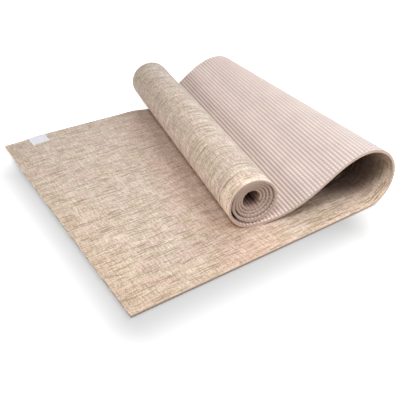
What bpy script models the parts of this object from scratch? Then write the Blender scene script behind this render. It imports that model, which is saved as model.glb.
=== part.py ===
# Yoga mat, partly rolled.
# One laminated sheet: a woven jute face on foam, with a net inside the foam and a ribbed foam underside.
# It lies flat, jute side up, turns back over itself in a tall open loop that leans across the width,
# comes down onto the flat part and ends there as a loosely wound roll. A folded label sits on the far edge.
# Metres and degrees. X runs along the flat part, Y across the width to the far edge, and Z up.

import math

import bmesh
import bpy
import numpy as np

# Driving dimensions of the mat
MAT_LENGTH = 1.85
MAT_WIDTH = 0.61
JUTE_THICKNESS = 0.0010
CUSHION_THICKNESS = 0.0010
NET_THICKNESS = 0.0003
BACK_THICKNESS = 0.0018
LAYER_GAP = 0.0003

# How the mat lies: lengths along the middle of the width, and the slants of its bending lines
FLAT_RUN = 0.4515
LOOP_RUN = 0.4793
LOOP_SLANTS = (7.75, 4.5)
CURL_SHARES = (0.0, 0.02, 0.58, 1.0, 0.99, 0.47, 0.17, 0.0, 0.0, 0.0)
FLARE_SHARES = (0.0, 0.0, 0.0, 0.0, 0.0, 0.0, 0.0, 0.48, 1.0, 0.65)
FLARE_TURN = 36.0
REST_CLEARANCE = 0.0003

# The roll: the air between its turns shrinks inwards. Its loose turns drift towards the right and are
# oval, and each lies a little deeper than the turn outside it, because the mat is wound at an angle
BORE_RADIUS = 0.0138
OUTER_AIR = 0.00325
AIR_LOSS_PER_TURN = 0.00102
TURN_CLEARANCE = 0.0006
SLACK_SHARE = 0.84
SLACK_ANGLE = 310.4
OVAL_SHARE = 1.11
OVAL_ANGLE = 0.0
WINDING_ANGLE = 0.9

# The label, folded over the far edge
LABEL_START = 0.0535
LABEL_WIDTH = 0.038
LABEL_FLAP = 0.037
LABEL_THICKNESS = 0.0005
LABEL_FOLD_RADIUS = 0.0009
LABEL_CLEARANCE = 0.0003
CUT_OVERRUN = 0.004

# How finely the sheet is divided
FLAT_STEPS = 4
LOOP_STEPS = 60
FINE_STEPS = 4
STEPS_PER_TURN = 24
ARC_STEPS = 4
SHARP_ANGLE = 40.0

# How closely the mat's course is worked out
NEWTON_ROUNDS = 30
HALVINGS = 60
LENGTH_SAMPLES = 2000
SLOPE_TOLERANCE = 1e-9
NUDGE_SHARE = 1e-5
LARGEST_CHANGE_SHARE = 0.25

MAT_THICKNESS = JUTE_THICKNESS + CUSHION_THICKNESS + NET_THICKNESS + BACK_THICKNESS + 3 * LAYER_GAP
SPIRAL_RUN = MAT_LENGTH - FLAT_RUN - LOOP_RUN
FULL_TURN = 2 * math.pi


def clear_scene():
    """Removes every object of the scene that the script starts in."""
    for old in list(bpy.data.objects):
        bpy.data.objects.remove(old, do_unlink=True)


def turned(vector, axis, angle):
    """A vector turned about a unit axis, by Rodrigues' formula."""
    across = np.cross(axis, vector) * math.sin(angle)
    along = axis * np.dot(axis, vector) * (1 - math.cos(angle))
    return vector * math.cos(angle) + across + along


def follow_bend(place, ahead, across, lengths, bends, slants):
    """Goes along the middle of a sheet that bends about straight lines across it.

    Over each length the sheet turns by its bend about its bending line, which makes the angle
    slant with the direction across. Returns the places and both directions, the start included.
    """
    path = [(place, ahead, across)]
    for length, bend, slant in zip(lengths, bends, slants):
        axis = math.cos(slant) * across + math.sin(slant) * ahead
        place = place + length * turned(ahead, axis, -bend / 2)
        ahead = turned(ahead, axis, -bend)
        across = turned(across, axis, -bend)
        path.append((place, ahead, across))
    return [np.array(column) for column in zip(*path)]


def loop_slants(places, last_slant):
    """The slant of the bending lines, in radians, at shares of the loop's length."""
    knots = np.radians((0.0, *LOOP_SLANTS, last_slant, 0.0))
    return np.interp(places, np.linspace(0, 1, len(knots)), knots)


def loop_middles():
    """The middles of the loop's fine steps, as shares of its length."""
    steps = LOOP_STEPS * FINE_STEPS
    return (np.arange(steps) + 0.5) / steps


def spread_shares(shares):
    """A table of shares, evenly spaced over the loop, read at the middles of its fine steps."""
    return np.interp(loop_middles(), np.linspace(0, 1, len(shares)), shares)


def loop_path(curl, flare, last_slant):
    """The loop in fine steps, from its largest inward and outward curvature and its last slant."""
    middles = loop_middles()
    curvatures = curl * spread_shares(CURL_SHARES) - flare * spread_shares(FLARE_SHARES)
    lengths = np.full(len(middles), LOOP_RUN / len(middles))
    start = np.array((FLAT_RUN, MAT_WIDTH / 2, MAT_THICKNESS / 2))
    ahead, across = np.array((1.0, 0.0, 0.0)), np.array((0.0, 1.0, 0.0))
    slants = loop_slants(middles, last_slant)
    return follow_bend(start, ahead, across, lengths, curvatures * lengths, slants)


def landing_error(unknowns):
    """How far the loop's end is from lying level on the flat part: its height and its two slopes."""
    places, aheads, acrosses = loop_path(*unknowns)
    resting_height = MAT_THICKNESS + REST_CLEARANCE + MAT_THICKNESS / 2
    height = places[-1][2] - resting_height
    return np.array((height / LOOP_RUN, aheads[-1][2], acrosses[-1][2]))


def settle_loop():
    """The curvatures and last slant with which the loop's end lies level, by Newton's method."""
    flare_turn = math.radians(FLARE_TURN)
    curl = (math.pi + flare_turn) / (LOOP_RUN * spread_shares(CURL_SHARES).mean())
    flare = flare_turn / (LOOP_RUN * spread_shares(FLARE_SHARES).mean())
    unknowns = np.array((curl, flare, LOOP_SLANTS[-1]))
    for _ in range(NEWTON_ROUNDS):
        error = landing_error(unknowns)
        if np.abs(error).max() < SLOPE_TOLERANCE:
            break
        nudges = np.diag(unknowns * NUDGE_SHARE)
        slopes = [(landing_error(unknowns + nudge) - error) / nudge.sum() for nudge in nudges]
        change = np.linalg.solve(np.array(slopes).T, -error)
        largest_share = np.abs(change / unknowns).max()
        unknowns = unknowns + change / max(1.0, largest_share / LARGEST_CHANGE_SHARE)
    return unknowns


def roll_shrink(turns):
    """How much smaller the roll's radius is after so many turns: the mats and the air between them."""
    loosened = np.minimum(turns, (OUTER_AIR - TURN_CLEARANCE) / AIR_LOSS_PER_TURN)
    air = OUTER_AIR * loosened - AIR_LOSS_PER_TURN * loosened**2 / 2
    return MAT_THICKNESS * turns + air + TURN_CLEARANCE * (turns - loosened)


def roll_radii(turns, total_turns):
    """The radius of curvature of the mat's middle layer, after so many of the roll's turns.

    The wave once a turn makes each turn drift to one side of the turn outside it, and the wave
    twice a turn makes it oval. Both follow the slack, so they fade inwards.
    """
    slack = np.maximum(OUTER_AIR - AIR_LOSS_PER_TURN * turns, TURN_CLEARANCE) - TURN_CLEARANCE
    drift = SLACK_SHARE * slack / math.pi * np.sin(FULL_TURN * turns + math.radians(SLACK_ANGLE))
    oval = OVAL_SHARE * slack * np.cos(2 * FULL_TURN * turns + math.radians(OVAL_ANGLE))
    end_radius = BORE_RADIUS + MAT_THICKNESS / 2
    return end_radius + roll_shrink(total_turns) - roll_shrink(turns) + drift + oval


def wound_length(total_turns):
    """The length of mat in a roll of so many turns."""
    turns = (np.arange(LENGTH_SAMPLES) + 0.5) / LENGTH_SAMPLES * total_turns
    return roll_radii(turns, total_turns).mean() * FULL_TURN * total_turns


def count_turns():
    """The turns that use up the rest of the mat, found by halving."""
    low, high = 0.0, SPIRAL_RUN / (FULL_TURN * BORE_RADIUS)
    for _ in range(HALVINGS):
        middle = (low + high) / 2
        if wound_length(middle) < SPIRAL_RUN:
            low = middle
        else:
            high = middle
    return low


def roll_path(place, ahead, across):
    """The roll in fine steps, from where the mat lands. Its last step is cut where the mat ends.

    The winding angle carries the mat along the roll's axis while it winds, like a thread on a screw.
    """
    total_turns = count_turns()
    step = 1 / (STEPS_PER_TURN * FINE_STEPS)
    ends = np.append(np.arange(0, total_turns, step), total_turns)
    turns = np.diff(ends)
    radii = roll_radii(ends[:-1] + turns / 2, total_turns)
    bends = -FULL_TURN * turns
    lengths = -bends * radii
    places, aheads, acrosses = follow_bend(place, ahead, across, lengths, bends, np.zeros(len(turns)))
    setbacks = math.tan(math.radians(WINDING_ANGLE)) * np.append(0.0, np.cumsum(lengths))
    return [places + setbacks[:, None] * acrosses, aheads, acrosses]


def thinned(path):
    """Every few fine steps of a path, with its end."""
    kept = np.append(np.arange(0, len(path[0]) - 1, FINE_STEPS), len(path[0]) - 1)
    return [column[kept] for column in path]


def mat_stations():
    """The bending lines of the whole mat: place, direction along the line, and direction off the jute.

    The line's direction is stretched so that half the width, times it, reaches the mat's edge.
    """
    curl, flare, last_slant = settle_loop()
    loop = thinned(loop_path(curl, flare, last_slant))
    roll = thinned(roll_path(*[column[-1] for column in loop]))
    flat_places = np.tile(loop[0][0], (FLAT_STEPS, 1))
    flat_places[:, 0] = np.linspace(0, FLAT_RUN, FLAT_STEPS + 1)[:-1]
    places = np.concatenate((flat_places, loop[0], roll[0][1:]))
    aheads = np.concatenate((np.tile(loop[1][0], (FLAT_STEPS, 1)), loop[1], roll[1][1:]))
    acrosses = np.concatenate((np.tile(loop[2][0], (FLAT_STEPS, 1)), loop[2], roll[2][1:]))
    slants = np.zeros(len(places))
    slants[FLAT_STEPS : FLAT_STEPS + len(loop[0])] = loop_slants(np.linspace(0, 1, len(loop[0])), last_slant)
    lines = acrosses + np.tan(slants)[:, None] * aheads
    return places, lines, np.cross(aheads, acrosses)


def bent_layer(name, top, thickness, stations):
    """One layer of the mat: a flat slab of grid cells, laid along the bending lines.

    top is how far its jute side lies below the top of the mat.
    """
    places, lines, normals = stations
    cells = len(places) - 1
    mesh = bpy.data.meshes.new(name)
    slab = bmesh.new()
    bmesh.ops.create_grid(slab, x_segments=cells, y_segments=1, size=1)
    raised = bmesh.ops.extrude_face_region(slab, geom=slab.faces[:])
    upper = {item for item in raised["geom"] if isinstance(item, bmesh.types.BMVert)}
    jute_side = MAT_THICKNESS / 2 - top
    for corner in slab.verts:
        station = round((corner.co.x + 1) / 2 * cells)
        offset = jute_side if corner in upper else jute_side - thickness
        across = corner.co.y * MAT_WIDTH / 2
        corner.co = places[station] + across * lines[station] + offset * normals[station]
    bmesh.ops.recalc_face_normals(slab, faces=slab.faces[:])
    slab.to_mesh(mesh)
    slab.free()
    return placed(mesh)


def placed(mesh):
    """A new object for a mesh, in the mat's collection, shaded smooth with sharp edges."""
    item = bpy.data.objects.new(mesh.name, mesh)
    mat_collection.objects.link(item)
    mesh.shade_smooth()
    mesh.set_sharp_from_angle(angle=math.radians(SHARP_ANGLE))
    return item


def finish(item, colour, roughness):
    """Gives a piece its own Principled material."""
    material = bpy.data.materials.new(item.name)
    material.use_nodes = True
    shader = material.node_tree.nodes["Principled BSDF"]
    shader.inputs["Base Color"].default_value = (*colour, 1.0)
    shader.inputs["Roughness"].default_value = roughness
    shader.inputs["Metallic"].default_value = 0.0
    item.data.materials.append(material)


def label_profile():
    """The middle of the folded label, from its upper free end round the edge to its lower one."""
    half = LABEL_THICKNESS / 2
    upper = MAT_THICKNESS + LABEL_CLEARANCE + half
    lower = LABEL_CLEARANCE + half
    outer = MAT_WIDTH + LABEL_CLEARANCE + half
    radius = min(LABEL_FOLD_RADIUS, (upper - lower) / 2)
    quarter = np.linspace(0, math.pi / 2, ARC_STEPS + 1)
    arc_y = outer - radius + radius * np.sin(quarter)
    drop = radius * (1 - np.cos(quarter))
    ys = np.concatenate(((MAT_WIDTH - LABEL_FLAP,), arc_y, arc_y[::-1], (MAT_WIDTH - LABEL_FLAP,)))
    zs = np.concatenate(((upper,), upper - drop, lower + drop[::-1], (lower,)))
    return ys, zs


def make_label():
    """The label: a flat strip folded along its profile, with a wall."""
    ys, zs = label_profile()
    cells = len(ys) - 1
    mesh = bpy.data.meshes.new("edge_label")
    strip = bmesh.new()
    bmesh.ops.create_grid(strip, x_segments=1, y_segments=cells, size=1)
    for corner in strip.verts:
        point = round((corner.co.y + 1) / 2 * cells)
        x = LABEL_START + LABEL_WIDTH * (corner.co.x + 1) / 2
        corner.co = (x, ys[point], zs[point])
    strip.to_mesh(mesh)
    strip.free()
    label = placed(mesh)
    wall = label.modifiers.new("wall", "SOLIDIFY")
    wall.thickness = LABEL_THICKNESS
    wall.offset = 0.0
    return label


def cut_label_seat(back):
    """Presses a seat for the label's lower flap into the foam's underside."""
    depth = LABEL_THICKNESS + 2 * LABEL_CLEARANCE
    inner = MAT_WIDTH - LABEL_FLAP - LABEL_CLEARANCE
    low = np.array((LABEL_START - LABEL_CLEARANCE, inner, -CUT_OVERRUN))
    high = np.array((LABEL_START + LABEL_WIDTH + LABEL_CLEARANCE, MAT_WIDTH + CUT_OVERRUN, depth))
    mesh = bpy.data.meshes.new("label_seat_cutter")
    block = bmesh.new()
    bmesh.ops.create_cube(block, size=1)
    for corner in block.verts:
        corner.co = (low + high) / 2 + np.array(corner.co) * (high - low)
    block.to_mesh(mesh)
    block.free()
    cutter = bpy.data.objects.new(mesh.name, mesh)
    cutter_collection.objects.link(cutter)
    cutter.hide_render = True
    cutter.display_type = "WIRE"
    seat = back.modifiers.new("label seat", "BOOLEAN")
    seat.operation = "DIFFERENCE"
    seat.object = cutter


def least_turn_gap(stations):
    """The least air between the mat and its next turn, measured square to the roll's axis."""
    places, lines, normals = stations
    first = FLAT_STEPS + LOOP_STEPS
    axis = lines[-1]
    places = places[first:] - (places[first:] @ axis)[:, None] * axis
    inner_side = places - normals[first:] * MAT_THICKNESS / 2
    jute_side = places + normals[first:] * MAT_THICKNESS / 2
    nearest = []
    for index in range(len(inner_side) - STEPS_PER_TURN // 2):
        later = jute_side[index + STEPS_PER_TURN // 2 :]
        nearest.append(np.linalg.norm(later - inner_side[index], axis=1).min())
    return min(nearest)


def centre_on_origin(pieces):
    """Hangs every object from an empty that brings the middle of the mat's base to the origin."""
    corners = np.array([corner.co for piece in pieces for corner in piece.data.vertices])
    middle = (corners.min(axis=0) + corners.max(axis=0)) / 2
    base = bpy.data.objects.new("mat_base", None)
    base.location = (-middle[0], -middle[1], 0.0)
    mat_collection.objects.link(base)
    for item in (*mat_collection.objects, *cutter_collection.objects):
        if item is not base:
            item.parent = base


def make_mat():
    """The mat's layers from the jute side down, and the label."""
    stations = mat_stations()
    jute = bent_layer("jute_face", 0.0, JUTE_THICKNESS, stations)
    depth = JUTE_THICKNESS + LAYER_GAP
    cushion = bent_layer("foam_cushion", depth, CUSHION_THICKNESS, stations)
    depth += CUSHION_THICKNESS + LAYER_GAP
    net = bent_layer("reinforcing_net", depth, NET_THICKNESS, stations)
    depth += NET_THICKNESS + LAYER_GAP
    back = bent_layer("ribbed_foam_back", depth, BACK_THICKNESS, stations)
    cut_label_seat(back)
    label = make_label()
    finish(jute, (0.68, 0.56, 0.45), 0.95)
    finish(cushion, (0.72, 0.59, 0.54), 0.85)
    finish(net, (0.8, 0.78, 0.74), 0.7)
    finish(back, (0.76, 0.63, 0.58), 0.85)
    finish(label, (0.8, 0.79, 0.8), 0.6)
    centre_on_origin((jute, back))
    print(f"least gap between turns of the roll: {least_turn_gap(stations) * 1000:.2f} mm")


clear_scene()
mat_collection = bpy.data.collections.new("yoga_mat")
cutter_collection = bpy.data.collections.new("yoga_mat_cutters")
bpy.context.scene.collection.children.link(mat_collection)
bpy.context.scene.collection.children.link(cutter_collection)
make_mat()
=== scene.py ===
# Yoga mat, partly rolled: a woven jute face on foam that lies flat, turns back over itself in an open
# loop, and ends in a loose roll on the flat part. Metres. X runs along the flat part, Y across the mat.

import math

import bpy
import numpy as np
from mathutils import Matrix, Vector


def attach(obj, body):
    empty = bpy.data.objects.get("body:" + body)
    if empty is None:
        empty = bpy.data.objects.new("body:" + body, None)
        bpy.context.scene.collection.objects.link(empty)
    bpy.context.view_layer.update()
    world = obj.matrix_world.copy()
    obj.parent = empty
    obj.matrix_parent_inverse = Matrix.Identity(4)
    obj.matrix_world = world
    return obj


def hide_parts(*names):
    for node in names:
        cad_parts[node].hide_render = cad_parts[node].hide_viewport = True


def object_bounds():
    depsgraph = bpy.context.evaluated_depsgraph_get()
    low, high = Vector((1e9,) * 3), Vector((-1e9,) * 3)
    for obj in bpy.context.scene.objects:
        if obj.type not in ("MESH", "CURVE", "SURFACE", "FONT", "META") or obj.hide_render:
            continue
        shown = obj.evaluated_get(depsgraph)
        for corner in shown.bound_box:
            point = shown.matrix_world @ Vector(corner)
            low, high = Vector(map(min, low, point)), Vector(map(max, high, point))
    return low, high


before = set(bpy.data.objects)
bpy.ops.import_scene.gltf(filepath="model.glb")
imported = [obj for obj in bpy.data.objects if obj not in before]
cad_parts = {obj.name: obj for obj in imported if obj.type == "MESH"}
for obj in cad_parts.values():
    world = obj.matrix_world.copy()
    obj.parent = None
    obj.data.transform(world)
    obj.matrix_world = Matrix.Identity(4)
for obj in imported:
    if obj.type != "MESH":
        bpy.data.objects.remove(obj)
cad_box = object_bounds()


# ---------------------------------------------------------------------------------------------------
# Camera
# It stands to the left of the mat's near corner, at desk height, and looks down along the diagonal.
# Its place, its two angles and its focal length were solved from outlines of the mat.

PICTURE_PIXELS = 400
FOCAL_PIXELS = 525.3
SENSOR_WIDTH = 36.0

near_corner = np.array((cad_box[0][0], cad_box[0][1], 0.0))
camera_place = near_corner + (-0.21095, -0.49787, 0.56757)
camera_yaw = math.radians(56.434)
camera_pitch = math.radians(34.209)

camera = bpy.data.objects.new("camera", bpy.data.cameras.new("camera"))
bpy.context.scene.collection.objects.link(camera)
camera.location = camera_place
camera.rotation_euler = (math.pi / 2 - camera_pitch, 0.0, camera_yaw - math.pi / 2)
camera.data.sensor_width = SENSOR_WIDTH
camera.data.lens = SENSOR_WIDTH * FOCAL_PIXELS / PICTURE_PIXELS
camera.data.clip_start = 0.01
bpy.context.scene.camera = camera


# ---------------------------------------------------------------------------------------------------
# Jute face
# The top of the mat is a cloth of undyed jute, plain woven from single yarns about 1.6 mm apart.
# It is bonded to the foam and cut with it.

MAT_LENGTH = 1.85
MAT_WIDTH = 0.61
MAT_THICKNESS = 0.005
FLAT_LENGTH = 0.4515
LOOP_LENGTH = 0.4793
ROLL_START = FLAT_LENGTH + LOOP_LENGTH
JUTE_DEPTH = 0.0011
WARP_PITCH = 0.0016
WEFT_PITCH = 0.0017
LENGTH_STEPS = 617

# The loop's curvature at even shares of its length, in 1/m, and the slant of its bending lines
INWARD_BEND = 22.589516
INWARD_SHARES = (0.0, 0.02, 0.58, 1.0, 0.99, 0.47, 0.17, 0.0, 0.0, 0.0)
OUTWARD_BEND = 7.748157
OUTWARD_SHARES = (0.0, 0.0, 0.0, 0.0, 0.0, 0.0, 0.0, 0.48, 1.0, 0.65)
BENDING_SLANTS = np.radians((0.0, 7.75, 4.5, 5.759158, 0.0))
SLANT_SHARES = np.linspace(0, 1, len(BENDING_SLANTS))
SLANT_STATIONS = FLAT_LENGTH + LOOP_LENGTH * SLANT_SHARES
LOOP_STEPS = 240

# The roll: its loose turns drift to one side and are oval, and each lies a little deeper than the last
ROLL_TURNS = 4.811366
STEPS_PER_TURN = 96
BORE_RADIUS = 0.0138
OUTER_AIR = 0.00325
AIR_LOSS_PER_TURN = 0.00102
TURN_CLEARANCE = 0.0006
SLACK_SHARE = 0.84
SLACK_ANGLE = math.radians(310.4)
OVAL_SHARE = 1.11
WINDING_SLOPE = math.tan(math.radians(0.9))

# Over its top the roll stands fuller than it was wound, and more so at its far end
ROLL_SWELL = 0.0014
FAR_END_SWELL = 0.0018

# The flat part's far edge lifts off the floor in a shallow wave, up to where the roll lies on it
LIFT_HEIGHT = 0.0062
LIFT_FROM, LIFT_WIDTH = 0.34, 0.27
CORNER_SHARE, CORNER_RUN = 0.3, 0.10
LIFT_END, LIFT_FALL = 0.315, 0.06


def roll_radius(turns):
    """The middle layer's radius of curvature, by turns from where the roll begins.

    The bore, plus the thickness and the air of every turn that is still to come, plus a wave once a
    turn that makes the turns drift, and a wave twice a turn that makes them oval. Both waves follow
    the slack, which is the air beyond the least clearance, and the air shrinks steadily inwards.
    """
    def wound(count):
        loose = np.minimum(count, (OUTER_AIR - TURN_CLEARANCE) / AIR_LOSS_PER_TURN)
        air = OUTER_AIR * loose - AIR_LOSS_PER_TURN * loose**2 / 2
        return MAT_THICKNESS * count + air + TURN_CLEARANCE * (count - loose)

    slack = np.maximum(OUTER_AIR - AIR_LOSS_PER_TURN * turns, TURN_CLEARANCE) - TURN_CLEARANCE
    drift = SLACK_SHARE * slack / math.pi * np.sin(2 * math.pi * turns + SLACK_ANGLE)
    oval = OVAL_SHARE * slack * np.cos(4 * math.pi * turns)
    return BORE_RADIUS + MAT_THICKNESS / 2 + wound(ROLL_TURNS) - wound(turns) + drift + oval


def mat_course():
    """The mat's middle line: distance along, place, direction off the jute, and bending line.

    Each short step turns the sheet by its curvature times its length, about a line that makes the
    angle slant with the direction across the mat. The bending line is given as the step sideways
    that reaches the mat's edge after half its width: across + tan(slant) * ahead. In the roll the
    mat also moves along the roll's axis, by the winding slope times the length wound up.
    """
    shares = (np.arange(LOOP_STEPS) + 0.5) / LOOP_STEPS
    table = np.linspace(0, 1, len(INWARD_SHARES))
    bend = INWARD_BEND * np.interp(shares, table, INWARD_SHARES)
    bend = bend - OUTWARD_BEND * np.interp(shares, table, OUTWARD_SHARES)
    loop_steps = np.full(LOOP_STEPS, LOOP_LENGTH / LOOP_STEPS)
    slants = np.interp(shares, SLANT_SHARES, BENDING_SLANTS)
    turn_ends = np.arange(0, ROLL_TURNS + 0.1, 1 / STEPS_PER_TURN)
    radii = roll_radius((turn_ends[1:] + turn_ends[:-1]) / 2)
    roll_bends = -2 * math.pi * np.diff(turn_ends)
    steps = np.concatenate(((FLAT_LENGTH,), loop_steps, -roll_bends * radii))
    bends = np.concatenate(((0.0,), bend * loop_steps, roll_bends))
    slants = np.concatenate(((0.0,), slants, np.zeros(len(radii))))

    def turned(vector, axis, angle):
        return vector * math.cos(angle) + np.cross(axis, vector) * math.sin(angle) + (
            axis * (axis @ vector) * (1 - math.cos(angle)))

    place = near_corner + (0.0, MAT_WIDTH / 2, MAT_THICKNESS / 2)
    ahead, across = np.array((1.0, 0.0, 0.0)), np.array((0.0, 1.0, 0.0))
    course = [(place, ahead, across)]
    for step, angle, slant in zip(steps, bends, slants):
        axis = math.cos(slant) * across + math.sin(slant) * ahead
        place = place + step * turned(ahead, axis, -angle / 2)
        ahead, across = turned(ahead, axis, -angle), turned(across, axis, -angle)
        course.append((place, ahead, across))
    places, aheads, acrosses = (np.array(column) for column in zip(*course))
    distances = np.append(0.0, np.cumsum(steps))
    wound = np.maximum(distances - FLAT_LENGTH - LOOP_LENGTH, 0.0)
    places = places + WINDING_SLOPE * wound[:, None] * acrosses
    lines = acrosses + np.tan(np.interp(distances, SLANT_STATIONS, BENDING_SLANTS))[:, None] * aheads
    normals = np.cross(aheads, acrosses)
    # The course goes on a little at both ends, for yarns that reach past the cut edge
    past = 0.01
    distances = np.concatenate(((-past,), distances, (distances[-1] + past,)))
    places = np.concatenate((places[:1] - past * aheads[0], places, places[-1:] + past * aheads[-1]))
    normals, lines = (np.pad(table, ((1, 1), (0, 0)), "edge") for table in (normals, lines))
    return distances, places, normals, lines


stations, station_places, station_normals, station_lines = mat_course()


def edge_lift(along, across):
    """How far the flat part rises off the floor: the lift's height times three smooth steps.

    One step rises across the mat, one from the corner's share to 1 along it, and one falls before
    the roll. A smooth step is 3 v^2 - 2 v^3 of a value held between 0 and 1.
    """
    def smooth(value):
        value = np.clip(value, 0.0, 1.0)
        return value * value * (3 - 2 * value)

    from_corner = CORNER_SHARE + (1 - CORNER_SHARE) * smooth(along / CORNER_RUN)
    before_roll = 1 - smooth((along - LIFT_END) / LIFT_FALL)
    return LIFT_HEIGHT * smooth((across - LIFT_FROM) / LIFT_WIDTH) * from_corner * before_roll


def on_mat(along, across, depth):
    """Points of the bent mat, from distances along and across it and the depth below its jute side.

    The point lies on the bending line of the station for which station + side * tan(slant) = along,
    which repeated substitution finds, with side the distance from the middle of the width. It is
    place + side * line + height * normal, raised by the edge lift. The height is half the thickness
    less the depth, and in the roll also the swell times (1 + the normal's upward share) / 2, so
    that the roll is fuller over its top and rests as before.
    """
    side = across - MAT_WIDTH / 2
    slopes = np.tan(np.interp(stations, SLANT_STATIONS, BENDING_SLANTS))
    station = along + 0.0 * side
    for _ in range(25):
        station = along - side * np.interp(station, stations, slopes)

    def read(table):
        return np.stack([np.interp(station, stations, table[:, axis]) for axis in range(3)], axis=-1)

    normal = read(station_normals)
    fullness = np.where(station > ROLL_START, (1 + normal[..., 2]) / 2, 0.0)
    height = MAT_THICKNESS / 2 - depth + fullness * (ROLL_SWELL + FAR_END_SWELL * across / MAT_WIDTH)
    points = read(station_places) + side[..., None] * read(station_lines) + height[..., None] * normal
    points[..., 2] += edge_lift(along, across)
    return points


def new_piece(name, points, faces, flat, smooth=True):
    """A mesh piece. Its sheet map holds, in metres, where each point lies on the sheet laid flat."""
    mesh = bpy.data.meshes.new(name)
    mesh.from_pydata(points.tolist(), [], faces)
    corners = np.empty(len(mesh.loops), np.int32)
    mesh.loops.foreach_get("vertex_index", corners)
    sheet_map = mesh.uv_layers.new(name="sheet")
    sheet_map.data.foreach_set("uv", flat[corners].astype(np.float32).ravel())
    if smooth:
        mesh.shade_smooth()
        mesh.set_sharp_from_angle(angle=math.radians(50))
    piece = bpy.data.objects.new(name, mesh)
    bpy.context.scene.collection.objects.link(piece)
    return piece


def slab(name, along, across, upper, lower):
    """A closed sheet of the mat between two depths, on a grid of distances along and across.

    The upper and the lower grid are joined by a ring of faces round the border.
    """
    rows, columns = along.shape
    top, bottom = (on_mat(along, across, depth).reshape(-1, 3) for depth in (upper, lower))
    index = np.arange(rows * columns).reshape(rows, columns)
    first, ahead, both, aside = index[:-1, :-1], index[1:, :-1], index[1:, 1:], index[:-1, 1:]
    quads = np.stack((first, ahead, both, aside), axis=-1).reshape(-1, 4)
    border = np.concatenate((index[:-1, 0], index[-1, :-1], index[:0:-1, -1], index[0, :0:-1]))
    following = np.roll(border, -1)
    under = rows * columns
    ring = np.stack((border, border + under, following + under, following), axis=-1)
    faces = np.concatenate((quads, quads[:, ::-1] + under, ring))
    flat = np.tile(np.stack((along, across), axis=-1).reshape(-1, 2), (2, 1))
    return new_piece(name, np.concatenate((top, bottom)), faces.tolist(), flat)


def even_grid(length_steps, width_steps):
    """Distances along and across the whole mat, on an even grid of that many steps each way."""
    lengths = np.linspace(0, MAT_LENGTH, length_steps + 1)
    widths = np.linspace(0, MAT_WIDTH, width_steps + 1)
    return np.meshgrid(lengths, widths, indexing="ij")


def link(tree, value, socket):
    """Joins an output to an input, or writes a plain value into it."""
    if isinstance(value, bpy.types.NodeSocket):
        tree.links.new(value, socket)
    else:
        socket.default_value = value


def calc(tree, operation, *values):
    """The output of a Math node with these inputs."""
    node = tree.nodes.new("ShaderNodeMath")
    node.operation = operation
    for value, socket in zip(values, node.inputs):
        link(tree, value, socket)
    return node.outputs[0]


def kept(tree, loss):
    """What a loss leaves: 1 less the loss."""
    return calc(tree, "SUBTRACT", 1.0, loss)


def nearest_end(tree, value, length):
    """The distance from the nearer end of a length."""
    return calc(tree, "MINIMUM", value, calc(tree, "SUBTRACT", length, value))


def rescale(tree, value, low, high, to_low, to_high):
    """A value carried from one range to another, and held inside it."""
    node = tree.nodes.new("ShaderNodeMapRange")
    for number, socket in zip((value, low, high, to_low, to_high), node.inputs):
        link(tree, number, socket)
    return node.outputs[0]


def band(tree, value, start, full, fading, end, peak=1.0):
    """A mask that rises from 0 to its peak and later falls to 0 again, as a value grows."""
    rise = rescale(tree, value, start, full, 0.0, peak)
    return calc(tree, "MULTIPLY", rise, rescale(tree, value, fading, end, 1.0, 0.0))


def noise(tree, x, y, detail=2.0, z=0.0):
    """Noise in three directions, with x, y and z already divided by the size of its grain."""
    place = tree.nodes.new("ShaderNodeCombineXYZ")
    for value, socket in zip((x, y, z), place.inputs):
        link(tree, value, socket)
    node = tree.nodes.new("ShaderNodeTexNoise")
    node.inputs["Scale"].default_value = 1.0
    node.inputs["Detail"].default_value = detail
    tree.links.new(place.outputs[0], node.inputs["Vector"])
    return node.outputs["Fac"]


def blend_colours(tree, factor, first, second, way="MIX"):
    """Two colours mixed by a factor, the way that the blend type says."""
    node = tree.nodes.new("ShaderNodeMix")
    node.data_type = "RGBA"
    node.blend_type = way
    link(tree, factor, node.inputs[0])
    for colour, socket in ((first, node.inputs[6]), (second, node.inputs[7])):
        link(tree, colour if isinstance(colour, bpy.types.NodeSocket) else (*colour, 1.0), socket)
    return node.outputs[2]


def tint(tree, colour, by):
    """A colour multiplied by another colour or by a tone."""
    return blend_colours(tree, 1.0, colour, by, "MULTIPLY")


def tint_where(tree, mask, colour, by):
    """A colour that is tinted as far as the mask says."""
    return blend_colours(tree, mask, colour, tint(tree, colour, by))


def ramp(tree, value, stops):
    """A colour ramp with these (position, colour) stops."""
    node = tree.nodes.new("ShaderNodeValToRGB")
    while len(node.color_ramp.elements) < len(stops):
        node.color_ramp.elements.new(0.5)
    for element, (position, colour) in zip(node.color_ramp.elements, stops):
        element.position = position
        element.color = (*colour, 1.0)
    tree.links.new(value, node.inputs[0])
    return node.outputs[0]


def bump(tree, height, distance, strength, normal=None):
    """A Bump node: the height in shares of a distance in metres, laid over another normal."""
    node = tree.nodes.new("ShaderNodeBump")
    node.inputs["Strength"].default_value = strength
    node.inputs["Distance"].default_value = distance
    tree.links.new(height, node.inputs["Height"])
    if normal is not None:
        tree.links.new(normal, node.inputs["Normal"])
    return node.outputs[0]


def effect(name, inputs, outputs):
    """An empty node group with named number inputs and outputs: its tree, and both end nodes."""
    tree = bpy.data.node_groups.new(name, "ShaderNodeTree")
    for label in inputs:
        tree.interface.new_socket(label, in_out="INPUT", socket_type="NodeSocketFloat")
    for label in outputs:
        tree.interface.new_socket(label, in_out="OUTPUT", socket_type="NodeSocketFloat")
    return tree, tree.nodes.new("NodeGroupInput").outputs, tree.nodes.new("NodeGroupOutput").inputs


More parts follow.
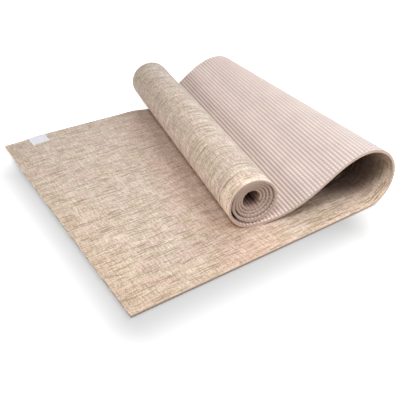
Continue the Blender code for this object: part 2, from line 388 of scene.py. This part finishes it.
def place_effect(tree, group, **values):
    """A node group placed in a material: inputs by name, with _ for a space. Returns its outputs."""
    node = tree.nodes.new("ShaderNodeGroup")
    node.node_tree = group
    for label, value in values.items():
        link(tree, value, node.inputs[label.replace("_", " ").capitalize()])
    return node.outputs


def new_finish(piece, colour, roughness, specular=0.3):
    """A material for a piece: its tree, its shader, and the distances along and across the mat."""
    material = bpy.data.materials.new(piece.name)
    material.use_nodes = True
    tree = material.node_tree
    shader = tree.nodes["Principled BSDF"]
    shader.inputs["Base Color"].default_value = (*colour, 1.0)
    shader.inputs["Roughness"].default_value = roughness
    shader.inputs["Specular IOR Level"].default_value = specular
    place = tree.nodes.new("ShaderNodeUVMap")
    place.uv_map = "sheet"
    parts = tree.nodes.new("ShaderNodeSeparateXYZ")
    tree.links.new(place.outputs[0], parts.inputs[0])
    piece.data.materials.append(material)
    return tree, shader, parts.outputs[0], parts.outputs[1]


# Yarns: parallel yarns of one direction, told apart by their number across. Run is the length over
# which a yarn changes its tone, and the count goes up by 1 from yarn to yarn. The yarns sway by up to
# 1.6 pitches, and each reads its tone from a lane of noise of its own.
yarns, given, wanted = effect("yarns", ("Along", "Across", "Pitch", "Run", "Seed"),
                              ("Tone", "Roundness", "Slub", "Count"))
grain = [calc(yarns, "MULTIPLY", given[label], 30.0) for label in ("Along", "Across")]
sway = noise(yarns, *grain, 1.0, given["Seed"])
count = calc(yarns, "ADD", calc(yarns, "DIVIDE", given["Across"], given["Pitch"]),
             rescale(yarns, sway, 0.0, 1.0, -1.6, 1.6))
number = calc(yarns, "FLOOR", count)
off_centre = calc(yarns, "MULTIPLY_ADD", calc(yarns, "FRACT", count), 2.0, -1.0)
link(yarns, kept(yarns, calc(yarns, "MULTIPLY", off_centre, off_centre)), wanted["Roundness"])
stretch = calc(yarns, "DIVIDE", given["Along"], given["Run"])
lane = calc(yarns, "MULTIPLY_ADD", number, 7.31, given["Seed"])
link(yarns, noise(yarns, calc(yarns, "MULTIPLY_ADD", number, 0.37, stretch), lane, 2.0), wanted["Tone"])
thick = noise(yarns, calc(yarns, "MULTIPLY", stretch, 1.1), calc(yarns, "ADD", lane, 51.7), 0.0)
link(yarns, rescale(yarns, thick, 0.61, 0.68, 0.0, 1.0), wanted["Slub"])
link(yarns, count, wanted["Count"])

# Interlacing: at every second crossing the warp lies over the weft
interlacing, given, wanted = effect("interlacing",
                                    ("Warp count", "Weft count", "Warp roundness", "Weft roundness"),
                                    ("Height", "Warp on top"))
waves = [calc(interlacing, "SINE", calc(interlacing, "MULTIPLY", given[label], math.pi))
         for label in ("Warp count", "Weft count")]
crossing = calc(interlacing, "MULTIPLY", *waves)
warp, weft = (calc(interlacing, "MULTIPLY_ADD", given[label], 0.5,
                   calc(interlacing, "MULTIPLY", crossing, share))
              for label, share in (("Warp roundness", 0.5), ("Weft roundness", -0.5)))
link(interlacing, calc(interlacing, "MAXIMUM", warp, weft), wanted["Height"])
link(interlacing, calc(interlacing, "GREATER_THAN", warp, weft), wanted["Warp on top"])

# Streaks: soft bands of yarn from one batch, longer than they are wide
streaks, given, wanted = effect("streaks", ("Along", "Across", "Length", "Width", "Seed"), ("Tone",))
grain = [calc(streaks, "DIVIDE", given[label], given[size])
         for label, size in (("Along", "Length"), ("Across", "Width"))]
link(streaks, noise(streaks, *grain, 2.0, given["Seed"]), wanted["Tone"])

# Cut edge: 1 on the faces cut round the mat, where the sheet map stays on its border, and their tone,
# which is painted light and shade: one gain on the flat part, lighter on the loop and under the roll,
# and darker in the shade between the turns
cut_edge, given, wanted = effect("cut_edge", ("Along", "Across", "Flat gain", "Inner tone"), ("Mask", "Tone"))
from_border = calc(cut_edge, "MINIMUM", nearest_end(cut_edge, given["Across"], MAT_WIDTH),
                   nearest_end(cut_edge, given["Along"], MAT_LENGTH))
link(cut_edge, calc(cut_edge, "LESS_THAN", from_border, 0.0002), wanted["Mask"])
flat_part = rescale(cut_edge, given["Along"], 0.15, 0.42, 1.0, 0.0)
tone = calc(cut_edge, "MULTIPLY_ADD", flat_part, given["Flat gain"], 0.90)
tone = calc(cut_edge, "MULTIPLY_ADD", band(cut_edge, given["Along"], 0.44, 0.52, 0.96, 1.02), 0.22, tone)
shade_between_turns = rescale(cut_edge, given["Along"], 1.20, 1.24, 1.0, given["Inner tone"])
link(cut_edge, calc(cut_edge, "MULTIPLY", tone, shade_between_turns), wanted["Tone"])

along, across = even_grid(LENGTH_STEPS, 60)
jute_cloth = slab("jute_cloth", along, across, 0.0, JUTE_DEPTH)
tree, shader, run, side = new_finish(jute_cloth, (0.68, 0.56, 0.45), 0.92, 0.15)
warp = place_effect(tree, yarns, along=run, across=side, pitch=WARP_PITCH, run=0.040, seed=3.0)
weft = place_effect(tree, yarns, along=side, across=run, pitch=WEFT_PITCH, run=0.026, seed=17.0)
woven = place_effect(tree, interlacing, warp_count=warp["Count"], weft_count=weft["Count"],
                     warp_roundness=warp["Roundness"], weft_roundness=weft["Roundness"])
long_bands, fine_bands, mottle, broad, patches = (
    place_effect(tree, streaks, along=run, across=side, length=length, width=width, seed=seed)["Tone"]
    for length, width, seed in ((0.055, 0.0040, 5.0), (0.014, 0.0021, 7.0), (0.0032, 0.0028, 15.0),
                                (0.040, 0.013, 21.0), (0.055, 0.030, 13.0)))
cross_bands = place_effect(tree, streaks, along=side, across=run, length=0.018, width=0.0028,
                           seed=9.0)["Tone"]
straw = ((0.36, (0.335, 0.245, 0.172)), (0.45, (0.54, 0.42, 0.33)), (0.50, (0.705, 0.57, 0.473)),
         (0.55, (0.82, 0.69, 0.60)), (0.64, (0.96, 0.87, 0.80)))
shared = calc(tree, "MULTIPLY_ADD", mottle, 0.26, calc(tree, "MULTIPLY", broad, 0.12))
warp_tone = calc(tree, "MULTIPLY_ADD", long_bands, 0.20, calc(tree, "MULTIPLY_ADD", fine_bands, 0.20, shared))
warp_tone = calc(tree, "MULTIPLY_ADD", warp["Tone"], 0.22, warp_tone)
weft_tone = calc(tree, "MULTIPLY_ADD", cross_bands, 0.32, shared)
weft_tone = calc(tree, "MULTIPLY_ADD", weft["Tone"], 0.30, weft_tone)
cloth = blend_colours(tree, woven["Warp on top"], ramp(tree, weft_tone, straw), ramp(tree, warp_tone, straw))
hue = ramp(tree, patches, ((0.36, (1.0, 0.96, 0.965)), (0.5, (1.0, 1.0, 0.99)), (0.66, (0.99, 1.0, 0.94))))
cloth = tint(tree, cloth, hue)
# Painted light: the cloth is lighter towards its near side, where more light falls, less so at the near
# corner and the free end, and most in a painted pool of light beside the loop
painted_light_and_tone = rescale(tree, side, 0.0, MAT_WIDTH, 1.11, 0.98)
corner_loss = calc(tree, "MULTIPLY", rescale(tree, side, 0.0, 0.16, 1.0, 0.0),
                   rescale(tree, run, 0.10, 0.25, 0.06, 0.0))
lit_strip_gain = calc(tree, "MULTIPLY", rescale(tree, side, 0.0, 0.055, 1.0, 0.0),
                  rescale(tree, run, 0.34, 0.43, 0.0, 0.44))
painted_light_and_tone = calc(tree, "MULTIPLY", painted_light_and_tone, calc(tree, "ADD", kept(tree, corner_loss), lit_strip_gain))
painted_light_and_tone = calc(tree, "MULTIPLY", painted_light_and_tone, rescale(tree, run, 0.0, 0.045, 0.93, 1.0))
# Painted shadow: it is darker in a band along the roll, which lies slantwise across the flat part
roll_line = calc(tree, "MULTIPLY_ADD", side, 0.17, 0.225)
from_line = calc(tree, "ABSOLUTE", calc(tree, "SUBTRACT", run, roll_line))
roll_shadow_loss = calc(tree, "MULTIPLY", rescale(tree, from_line, 0.0, 0.045, 0.11, 0.0),
                 rescale(tree, side, 0.05, 0.08, 0.0, 1.0))
painted_light_and_tone = calc(tree, "MULTIPLY", painted_light_and_tone, kept(tree, roll_shadow_loss))
# Painted shade: it is darker and redder in the loop, and more so away from the loop's mouths
inside = rescale(tree, nearest_end(tree, side, MAT_WIDTH), 0.01, 0.095, 0.0, 1.0)
loop_shade = rescale(tree, calc(tree, "MULTIPLY_ADD", inside, 0.12, run), 0.52, 0.60, 0.0, 1.0)
loop_shade = calc(tree, "MULTIPLY", loop_shade, rescale(tree, run, 0.86, 0.93, 1.0, 0.0))
loop_shade_loss = calc(tree, "MULTIPLY", loop_shade, calc(tree, "MULTIPLY_ADD", inside, 0.50, 0.33))
painted_light_and_tone = calc(tree, "MULTIPLY", painted_light_and_tone, kept(tree, loop_shade_loss))
cloth = tint(tree, cloth, painted_light_and_tone)
cloth = tint_where(tree, calc(tree, "MULTIPLY", loop_shade, inside), cloth, (1.02, 0.86, 0.88))
# It is cooler towards its far side, and redder in the painted shadow round the line of the roll
cloth = tint_where(tree, rescale(tree, side, 0.05, 0.55, 0.0, 1.0), cloth, (0.97, 1.0, 1.03))
roll_shadow_redness = calc(tree, "MULTIPLY", rescale(tree, run, 0.42, 0.45, 1.0, 0.0),
                 rescale(tree, from_line, 0.02, 0.10, 1.0, 0.0))
cloth = tint_where(tree, roll_shadow_redness, cloth, (1.03, 0.965, 0.955))
# In the roll the cloth is greener, most of all over the top, and painted light makes its flank lighter
rolled = rescale(tree, run, 0.93, 0.99, 0.0, 1.0)
flank_light = blend_colours(tree, rescale(tree, run, 0.985, 1.03, 0.0, 1.0), (1.28, 1.26, 1.31),
                      (0.97, 0.955, 0.93))
roll_tint_and_light = blend_colours(tree, rescale(tree, run, 1.045, 1.09, 0.0, 1.0), flank_light, (1.03, 1.09, 1.145))
cloth = tint_where(tree, rolled, cloth, roll_tint_and_light)
# Painted shade: the rolled cloth is darker towards the roll's ends
roll_ends_shade = calc(tree, "ADD", rescale(tree, side, 0.2, 0.55, 0.0, 0.02),
                 rescale(tree, side, 0.02, 0.13, 0.09, 0.0))
cloth = tint(tree, cloth, kept(tree, calc(tree, "MULTIPLY", rolled, roll_ends_shade)))
# Wear: the cloth is more orange towards its free end and its near side, in an uneven band
from_end = calc(tree, "MULTIPLY_ADD", side, 0.12, calc(tree, "MULTIPLY_ADD", patches, 0.10, run))
from_side = calc(tree, "MULTIPLY_ADD", broad, 0.12, calc(tree, "MULTIPLY_ADD", run, 0.05, side))
from_corner = calc(tree, "MINIMUM", from_end, calc(tree, "ADD", from_side, 0.02))
cloth = tint_where(tree, rescale(tree, from_corner, 0.05, 0.17, 0.9, 0.0), cloth, (1.0, 0.945, 0.85))
slub = calc(tree, "MAXIMUM", warp["Slub"], calc(tree, "MULTIPLY", weft["Slub"], 0.25))
cloth = blend_colours(tree, calc(tree, "MULTIPLY", slub, 0.72), cloth, (0.37, 0.262, 0.165))
# Painted shade: the cloth is darker in the hollows of the weave, by the yarns' height
cloth = tint(tree, cloth, rescale(tree, woven["Height"], 0.0, 0.6, 0.62, 1.04))
# Painted light and shade on the cut edge, darkest where it lies between the turns
edge = place_effect(tree, cut_edge, along=run, across=side, flat_gain=0.15, inner_tone=0.38)
cloth = blend_colours(tree, edge["Mask"], cloth, tint(tree, (0.66, 0.51, 0.40), edge["Tone"]))
tree.links.new(cloth, shader.inputs["Base Color"])
tree.links.new(bump(tree, woven["Height"], 0.0004, 0.7), shader.inputs["Normal"])
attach(jute_cloth, "root")
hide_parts("jute_face")


# ---------------------------------------------------------------------------------------------------
# Cut yarn ends
# The knife that cuts the mat leaves every jute yarn with a short frayed end. They are longest at the
# free end of the flat part, where they make the edge uneven, and hardly show along the other edges.

AT_FREE_END = 0.0030
AT_OTHER_EDGES = 0.0007
YARNS_PER_TUFT = 5


def yarn_stubs(name, seed):
    """Tapered three-sided stubs on the border of the cloth, one for each yarn that ends there.

    A stub runs straight out from 0.6 mm inside the border, leans and droops a little, and narrows
    from a radius of 0.7 to 0.4 mm. Its length is the longest for its border, times a share for the
    stub and a share for its tuft. A border is given as (from, to, outward) on the flat sheet.
    """
    chance = np.random.default_rng(seed)
    borders = (((0, 0), (0, MAT_WIDTH), (-1, 0), WARP_PITCH, AT_FREE_END),
               ((MAT_LENGTH, 0), (MAT_LENGTH, MAT_WIDTH), (1, 0), WARP_PITCH, AT_OTHER_EDGES),
               ((0, 0), (MAT_LENGTH, 0), (0, -1), WEFT_PITCH, AT_OTHER_EDGES),
               ((0, MAT_WIDTH), (MAT_LENGTH, MAT_WIDTH), (0, 1), WEFT_PITCH, AT_OTHER_EDGES))
    starts, outs, reaches = [], [], []
    for first, last, outward, pitch, longest in borders:
        count = int(math.dist(first, last) / pitch)
        share = (np.arange(count) + 0.5 + chance.uniform(-0.3, 0.3, count)) / count
        starts.append(np.array(first) + share[:, None] * np.subtract(last, first))
        outs.append(np.tile(np.array(outward, float), (count, 1)))
        tufts = np.arange(0, count + YARNS_PER_TUFT, YARNS_PER_TUFT)
        uneven = np.interp(np.arange(count), tufts, chance.uniform(0.1, 1.0, len(tufts)))
        reaches.append(longest * chance.uniform(0.4, 1.0, count) * uneven)
    start, out, reach = (np.concatenate(column) for column in (starts, outs, reaches))
    aside = out[:, ::-1]
    lean = chance.uniform(-0.4, 0.4, len(start)) * reach
    deep = chance.uniform(0.00045, 0.00065, len(start))
    droop = chance.uniform(-0.1, 0.5, len(start)) * reach
    angles = np.array((0.5, 2.6, 4.7))
    rings = []
    for distance, radius, sideways, lower in ((-0.0006, 0.0007, 0.0, 0.0), (reach, 0.0004, lean, droop)):
        middle = start + out * np.reshape(distance, (-1, 1)) + aside * np.reshape(sideways, (-1, 1))
        flat = middle[:, None] + radius * np.cos(angles)[None, :, None] * aside[:, None]
        depth = (deep + lower)[:, None] + radius * np.sin(angles)[None]
        rings.append(np.concatenate((flat, depth[..., None]), axis=2))
    sheet = np.stack(rings, axis=1).reshape(-1, 3)
    base = 6 * np.arange(len(start))[:, None]
    stub_faces = ((0, 1, 4, 3), (1, 2, 5, 4), (2, 0, 3, 5), (0, 2, 1), (3, 4, 5))
    faces = sum(((base + np.array(face)).tolist() for face in stub_faces), [])
    points = on_mat(sheet[:, 0], sheet[:, 1], sheet[:, 2])
    return new_piece(name, points, faces, sheet[:, :2], smooth=False)


cut_yarns = yarn_stubs("cut_yarn_ends", 4)
tree, shader, run, side = new_finish(cut_yarns, (0.72, 0.58, 0.44), 0.9, 0.15)
fibres = noise(tree, calc(tree, "MULTIPLY", run, 500.0), calc(tree, "MULTIPLY", side, 500.0), 1.0)
fibre_colours = ((0.35, (0.72, 0.56, 0.41)), (0.5, (0.88, 0.76, 0.62)), (0.65, (0.97, 0.90, 0.80)))
tree.links.new(ramp(tree, fibres, fibre_colours), shader.inputs["Base Color"])
tree.links.new(bump(tree, fibres, 0.0002, 0.5), shader.inputs["Normal"])
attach(cut_yarns, "root")


# ---------------------------------------------------------------------------------------------------
# Foam cushion
# The upper layer of closed-cell polymer foam, cast onto the back of the jute. Only its smooth cut edge
# shows, all round the mat.

CORE_DEPTH = 0.0025

# Cells: the fine closed cells of the foam
cells, given, wanted = effect("cells", ("Along", "Across"), ("Height",))
grain = [calc(cells, "MULTIPLY", given[label], 1400.0) for label in ("Along", "Across")]
link(cells, noise(cells, *grain, 2.0), wanted["Height"])

along, across = even_grid(LENGTH_STEPS, 40)
foam_core = slab("foam_core", along, across, JUTE_DEPTH, CORE_DEPTH)
tree, shader, run, side = new_finish(foam_core, (0.53, 0.375, 0.315), 0.85)
# Painted light and shade on the cut edge
edge = place_effect(tree, cut_edge, along=run, across=side, flat_gain=0.15, inner_tone=1.0)
tree.links.new(tint(tree, (0.62, 0.45, 0.37), edge["Tone"]), shader.inputs["Base Color"])
foam_grain = place_effect(tree, cells, along=run, across=side)["Height"]
tree.links.new(bump(tree, foam_grain, 0.0002, 0.4), shader.inputs["Normal"])
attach(foam_core, "root")
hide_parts("foam_cushion")


# ---------------------------------------------------------------------------------------------------
# Reinforcing net
# A thin polyester net between the two foam layers, which keeps the mat from stretching. It is cast in,
# so only its cut edge shows.

NET_DEPTH = 0.0028
NET_PITCH = 0.003

net_layer = slab("net_layer", along, across, CORE_DEPTH, NET_DEPTH)
tree, shader, run, side = new_finish(net_layer, (0.8, 0.78, 0.74), 0.7)
warp = place_effect(tree, yarns, along=run, across=side, pitch=NET_PITCH, run=0.2, seed=23.0)
weft = place_effect(tree, yarns, along=side, across=run, pitch=NET_PITCH, run=0.2, seed=29.0)
threads = calc(tree, "MAXIMUM", warp["Roundness"], weft["Roundness"])
net_colour = ramp(tree, threads, ((0.6, (0.55, 0.42, 0.36)), (0.9, (0.66, 0.60, 0.55))))
tree.links.new(net_colour, shader.inputs["Base Color"])
tree.links.new(bump(tree, threads, 0.0002, 0.5), shader.inputs["Normal"])
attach(net_layer, "root")
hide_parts("reinforcing_net")


# ---------------------------------------------------------------------------------------------------
# Ribbed foam back
# The underside is foam cast with ribs across the mat, 7.2 mm apart, so that it grips the floor.
# Each rib swells and narrows every 7.5 mm, half a step out of line with its neighbours.

RIB_PITCH = 0.00719
RIB_DEPTH = 0.0010
SWELL_PITCH = 0.0075
STEPS_PER_RIB = 8
INNERMOST_LENGTH = 0.11

along, across = even_grid(round(MAT_LENGTH / RIB_PITCH * STEPS_PER_RIB), 18)
ribs = 0.5 - 0.5 * np.cos(2 * math.pi * along / RIB_PITCH)
foam_back = slab("foam_back", along, across, NET_DEPTH, MAT_THICKNESS - RIB_DEPTH * ribs)
tree, shader, run, side = new_finish(foam_back, (0.76, 0.63, 0.58), 0.85)
rib_phase = calc(tree, "COSINE", calc(tree, "MULTIPLY", run, math.pi / RIB_PITCH))
swell_phase = calc(tree, "COSINE", calc(tree, "MULTIPLY", side, 2 * math.pi / SWELL_PITCH))
swell = calc(tree, "MULTIPLY_ADD", calc(tree, "MULTIPLY", rib_phase, swell_phase), 0.5, 0.5)
rib_wave = calc(tree, "COSINE", calc(tree, "MULTIPLY", run, 2 * math.pi / RIB_PITCH))
crest = calc(tree, "MULTIPLY_ADD", rib_wave, 0.5, 0.5)
tone = place_effect(tree, streaks, along=run, across=side, length=0.05, width=0.05, seed=31.0)["Tone"]
colour = ramp(tree, tone, ((0.35, (0.84, 0.688, 0.651)), (0.65, (0.88, 0.745, 0.682))))
# Painted shade: the lines between the ribs are darker and pinker, and darkest beside the roll
groove = rescale(tree, crest, 0.0, 0.36, 1.0, 0.0)
groove_shade_tint = blend_colours(tree, groove, (1.0, 1.0, 1.0), (1.0, 0.955, 0.95))
groove_shade_tone = rescale(tree, run, 0.79, 0.85, 0.68, 0.48)
colour = tint(tree, tint(tree, colour, groove_shade_tint), rescale(tree, crest, 0.0, 0.36, groove_shade_tone, 1.0))
# Painted light and shade: the foam is lighter where the ribs swell and darker where they narrow
colour = tint(tree, colour, rescale(tree, swell, 0.0, 1.0, 0.84, 1.07))
# It is greyer on the crest of the loop, and towards the roll a band of painted light and then a browner band
# of painted shade beside the roll
colour = tint_where(tree, rescale(tree, run, 0.64, 0.71, 1.0, 0.0), colour, (0.965, 1.02, 1.04))
colour = tint_where(tree, band(tree, run, 0.81, 0.84, 0.85, 0.88, 0.3), colour, (0.84, 0.80, 0.75))
painted_light_band = band(tree, run, 0.76, 0.795, 0.805, 0.825, 0.09)
colour = tint(tree, colour, calc(tree, "ADD", 1.0, painted_light_band))
# Painted shade: the innermost turn is darker and browner away from the roll's ends, deep in its bore
innermost = calc(tree, "GREATER_THAN", run, MAT_LENGTH - INNERMOST_LENGTH)
inward = rescale(tree, nearest_end(tree, side, MAT_WIDTH), 0.0, 0.040, 0.9, 0.25)
bore_shaded = tint(tree, tint(tree, colour, (1.0, 0.86, 0.80)), inward)
colour = blend_colours(tree, innermost, colour, bore_shaded)
# Painted shade: the foam's cut edge is darker along the flat part, where it meets the floor
edge = place_effect(tree, cut_edge, along=run, across=side, flat_gain=-0.32, inner_tone=1.0)
colour = blend_colours(tree, edge["Mask"], colour, tint(tree, (0.62, 0.445, 0.37), edge["Tone"]))
tree.links.new(colour, shader.inputs["Base Color"])
foam_grain = place_effect(tree, cells, along=run, across=side)["Height"]
fine = bump(tree, foam_grain, 0.0002, 0.3)
tree.links.new(bump(tree, swell, 0.0005, 1.0, fine), shader.inputs["Normal"])
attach(foam_back, "root")
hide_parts("ribbed_foam_back")


# ---------------------------------------------------------------------------------------------------
# Edge label
# A white woven ribbon, folded in half over the far long edge and bonded to both sides of the mat.
# Its face is bare.

LABEL_START = 0.0535
LABEL_WIDTH = 0.038
LABEL_FLAP = 0.037
LABEL_THICKNESS = 0.0005
LABEL_GAP = 0.0003
FOLD_RADIUS = 0.0009
FLAP_STEPS = 15


def folded_ribbon(name, across_steps):
    """The label as a closed ribbon: a fold profile in Y and Z, carried along X.

    The profile runs from the upper flap's end, round a corner of the fold radius on each side of the
    mat's edge, to the lower flap's end, and its two sides lie half the ribbon's thickness off it.
    """
    half = LABEL_THICKNESS / 2
    top, low = MAT_THICKNESS + LABEL_GAP + half, LABEL_GAP + half
    edge = MAT_WIDTH + LABEL_GAP + half
    quarter = np.linspace(0, math.pi / 2, 7)
    flap = np.linspace(MAT_WIDTH - LABEL_FLAP, edge - FOLD_RADIUS, FLAP_STEPS + 1)[:-1]
    turn = edge - FOLD_RADIUS + FOLD_RADIUS * np.sin(quarter)
    drop = FOLD_RADIUS * (1 - np.cos(quarter))
    y = np.concatenate((flap, turn, turn[::-1], flap[::-1]))
    z = np.concatenate((np.full(FLAP_STEPS, top), top - drop, low + drop[::-1], np.full(FLAP_STEPS, low)))
    out_y, out_z = -np.gradient(z), np.gradient(y)
    size = np.hypot(out_y, out_z)
    outer = np.stack((y + half * out_y / size, z + half * out_z / size), axis=-1)
    inner = np.stack((y - half * out_y / size, z - half * out_z / size), axis=-1)
    profile = np.concatenate((outer, inner[::-1]))
    x = np.linspace(LABEL_START, LABEL_START + LABEL_WIDTH, across_steps + 1)
    count = len(profile)
    points = np.concatenate((np.repeat(x, count)[:, None], np.tile(profile, (len(x), 1))), axis=1)
    points[:, 2] += edge_lift(points[:, 0], points[:, 1])
    index = np.arange(len(points)).reshape(len(x), count)
    following = np.roll(index, -1, axis=1)
    faces = np.stack((index[:-1], index[1:], following[1:], following[:-1]), axis=-1).reshape(-1, 4).tolist()
    for row, turned_over in ((index[0], False), (index[-1], True)):
        outside, within = row[:count // 2], row[::-1][:count // 2]
        ends = np.stack((outside[:-1], outside[1:], within[1:], within[:-1]), axis=-1)
        faces += (ends[:, ::-1] if turned_over else ends).tolist()
    return new_piece(name, points + near_corner, faces, points[:, :2] - (LABEL_START, 0.0))


ribbon = folded_ribbon("label_ribbon", 24)
tree, shader, run, side = new_finish(ribbon, (0.8, 0.79, 0.8), 0.6)
warp = place_effect(tree, yarns, along=side, across=run, pitch=0.0004, run=0.02, seed=41.0)
weft = place_effect(tree, yarns, along=run, across=side, pitch=0.0005, run=0.02, seed=43.0)
woven = place_effect(tree, interlacing, warp_count=warp["Count"], weft_count=weft["Count"],
                     warp_roundness=warp["Roundness"], weft_roundness=weft["Roundness"])
ribbon_colour = ramp(tree, warp["Tone"], ((0.3, (0.76, 0.75, 0.79)), (0.7, (0.86, 0.85, 0.89))))
selvedge = rescale(tree, nearest_end(tree, run, LABEL_WIDTH), 0.0008, 0.0035, 1.12, 1.0)
tree.links.new(tint(tree, ribbon_colour, selvedge), shader.inputs["Base Color"])
tree.links.new(bump(tree, woven["Height"], 0.0001, 0.4), shader.inputs["Normal"])
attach(ribbon, "root")
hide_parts("edge_label")


# ---------------------------------------------------------------------------------------------------
# Floor and light
# A white studio floor under three high softboxes, with a low one on the left, the right and in front.
# The paper has a painted shadow round the flat part, and away from it glows too bright to show any shading.

SHADE_MIDDLE = (-0.104, -0.103)
SHADE_HALF = (0.203, 0.234)
SHADE_STRETCH = 1.28
SHADE_REACH = 0.118
SHADE_DEEPEST = 0.435
PAPER_WHITE = 0.94
LEAST_GLOW = 0.20

floor_mesh = bpy.data.meshes.new("floor")
floor_mesh.from_pydata([(-6, -6, 0), (8, -6, 0), (8, 8, 0), (-6, 8, 0)], [], [(0, 1, 2, 3)])
floor = bpy.data.objects.new("floor", floor_mesh)
bpy.context.scene.collection.objects.link(floor)
paper = bpy.data.materials.new("white_paper")
paper.use_nodes = True
tree = paper.node_tree
shader = tree.nodes["Principled BSDF"]
shader.inputs["Roughness"].default_value = 1.0
shader.inputs["Specular IOR Level"].default_value = 0.0
# Painted shadow: the paper darkens towards a rectangle under the flat part, by the distance away from it
spot = tree.nodes.new("ShaderNodeTexCoord")
parts = tree.nodes.new("ShaderNodeSeparateXYZ")
tree.links.new(spot.outputs["Object"], parts.inputs[0])
beyond = []
for place, middle, half in zip(parts.outputs, SHADE_MIDDLE, SHADE_HALF):
    from_middle = calc(tree, "ABSOLUTE", calc(tree, "SUBTRACT", place, middle))
    beyond.append(calc(tree, "MAXIMUM", calc(tree, "SUBTRACT", from_middle, half), 0.0))
beyond[0] = calc(tree, "MULTIPLY", beyond[0], SHADE_STRETCH)
squares = calc(tree, "MULTIPLY_ADD", beyond[0], beyond[0], calc(tree, "MULTIPLY", beyond[1], beyond[1]))
away = calc(tree, "SQRT", squares)
shade = rescale(tree, away, 0.0, SHADE_REACH, SHADE_DEEPEST, PAPER_WHITE)
shade.node.interpolation_type = "SMOOTHSTEP"
grey = tree.nodes.new("ShaderNodeCombineColor")
for socket in grey.inputs:
    tree.links.new(shade, socket)
tree.links.new(grey.outputs[0], shader.inputs["Base Color"])
# It glows enough to lose its shading away from the mat, behind it and beside the loop
glow = tree.nodes.new("ShaderNodeEmission")
path = tree.nodes.new("ShaderNodeLightPath")
mirrored = calc(tree, "MAXIMUM", path.outputs["Is Glossy Ray"], path.outputs["Is Transmission Ray"])
seen = calc(tree, "MAXIMUM", path.outputs["Is Camera Ray"], mirrored)
clear = rescale(tree, away, SHADE_REACH, 2.5 * SHADE_REACH, 0.0, 1.0)
behind = rescale(tree, parts.outputs[1], 0.19, 0.28, 0.0, 1.0)
beside = rescale(tree, parts.outputs[0], 0.24, 0.33, 0.0, 0.14)
bright = calc(tree, "MAXIMUM", clear, calc(tree, "MAXIMUM", behind, beside))
lift = calc(tree, "MULTIPLY_ADD", bright, 0.5, LEAST_GLOW)
tree.links.new(calc(tree, "MULTIPLY", seen, lift), glow.inputs["Strength"])
both = tree.nodes.new("ShaderNodeAddShader")
tree.links.new(shader.outputs[0], both.inputs[0])
tree.links.new(glow.outputs[0], both.inputs[1])
tree.links.new(both.outputs[0], tree.nodes["Material Output"].inputs["Surface"])
floor_mesh.materials.append(paper)

world = bpy.data.worlds.new("studio")
world.use_nodes = True
world.node_tree.nodes["Background"].inputs["Color"].default_value = (1.0, 1.0, 1.0, 1.0)
world.node_tree.nodes["Background"].inputs["Strength"].default_value = 0.03
bpy.context.scene.world = world


def hang_lamp(name, place, width, power):
    """A square softbox of that width and power in watts, aimed at the mat."""
    lamp = bpy.data.objects.new(name, bpy.data.lights.new(name, "AREA"))
    lamp.data.shape = "SQUARE"
    lamp.data.size = width
    lamp.data.energy = power
    lamp.location = place
    aim = -np.array(place)
    tilt = math.acos(-aim[2] / np.linalg.norm(aim))
    lamp.rotation_euler = (tilt, 0.0, math.atan2(aim[1], aim[0]) - math.pi / 2)
    bpy.context.scene.collection.objects.link(lamp)


hang_lamp("high_left", (-0.8, -0.6, 1.6), 0.7, 15.1)
hang_lamp("high_front", (0.3, -0.9, 1.7), 0.7, 5.9)
hang_lamp("high_right", (1.0, 0.2, 1.3), 1.2, 9.4)
hang_lamp("left", (-1.6, 0.4, 0.8), 0.8, 8.5)
hang_lamp("right", (1.6, 0.1, 1.2), 1.0, 10.0)
hang_lamp("front", (0.2, -1.8, 1.0), 0.8, 8.9)

bpy.context.scene.view_settings.view_transform = "Standard"
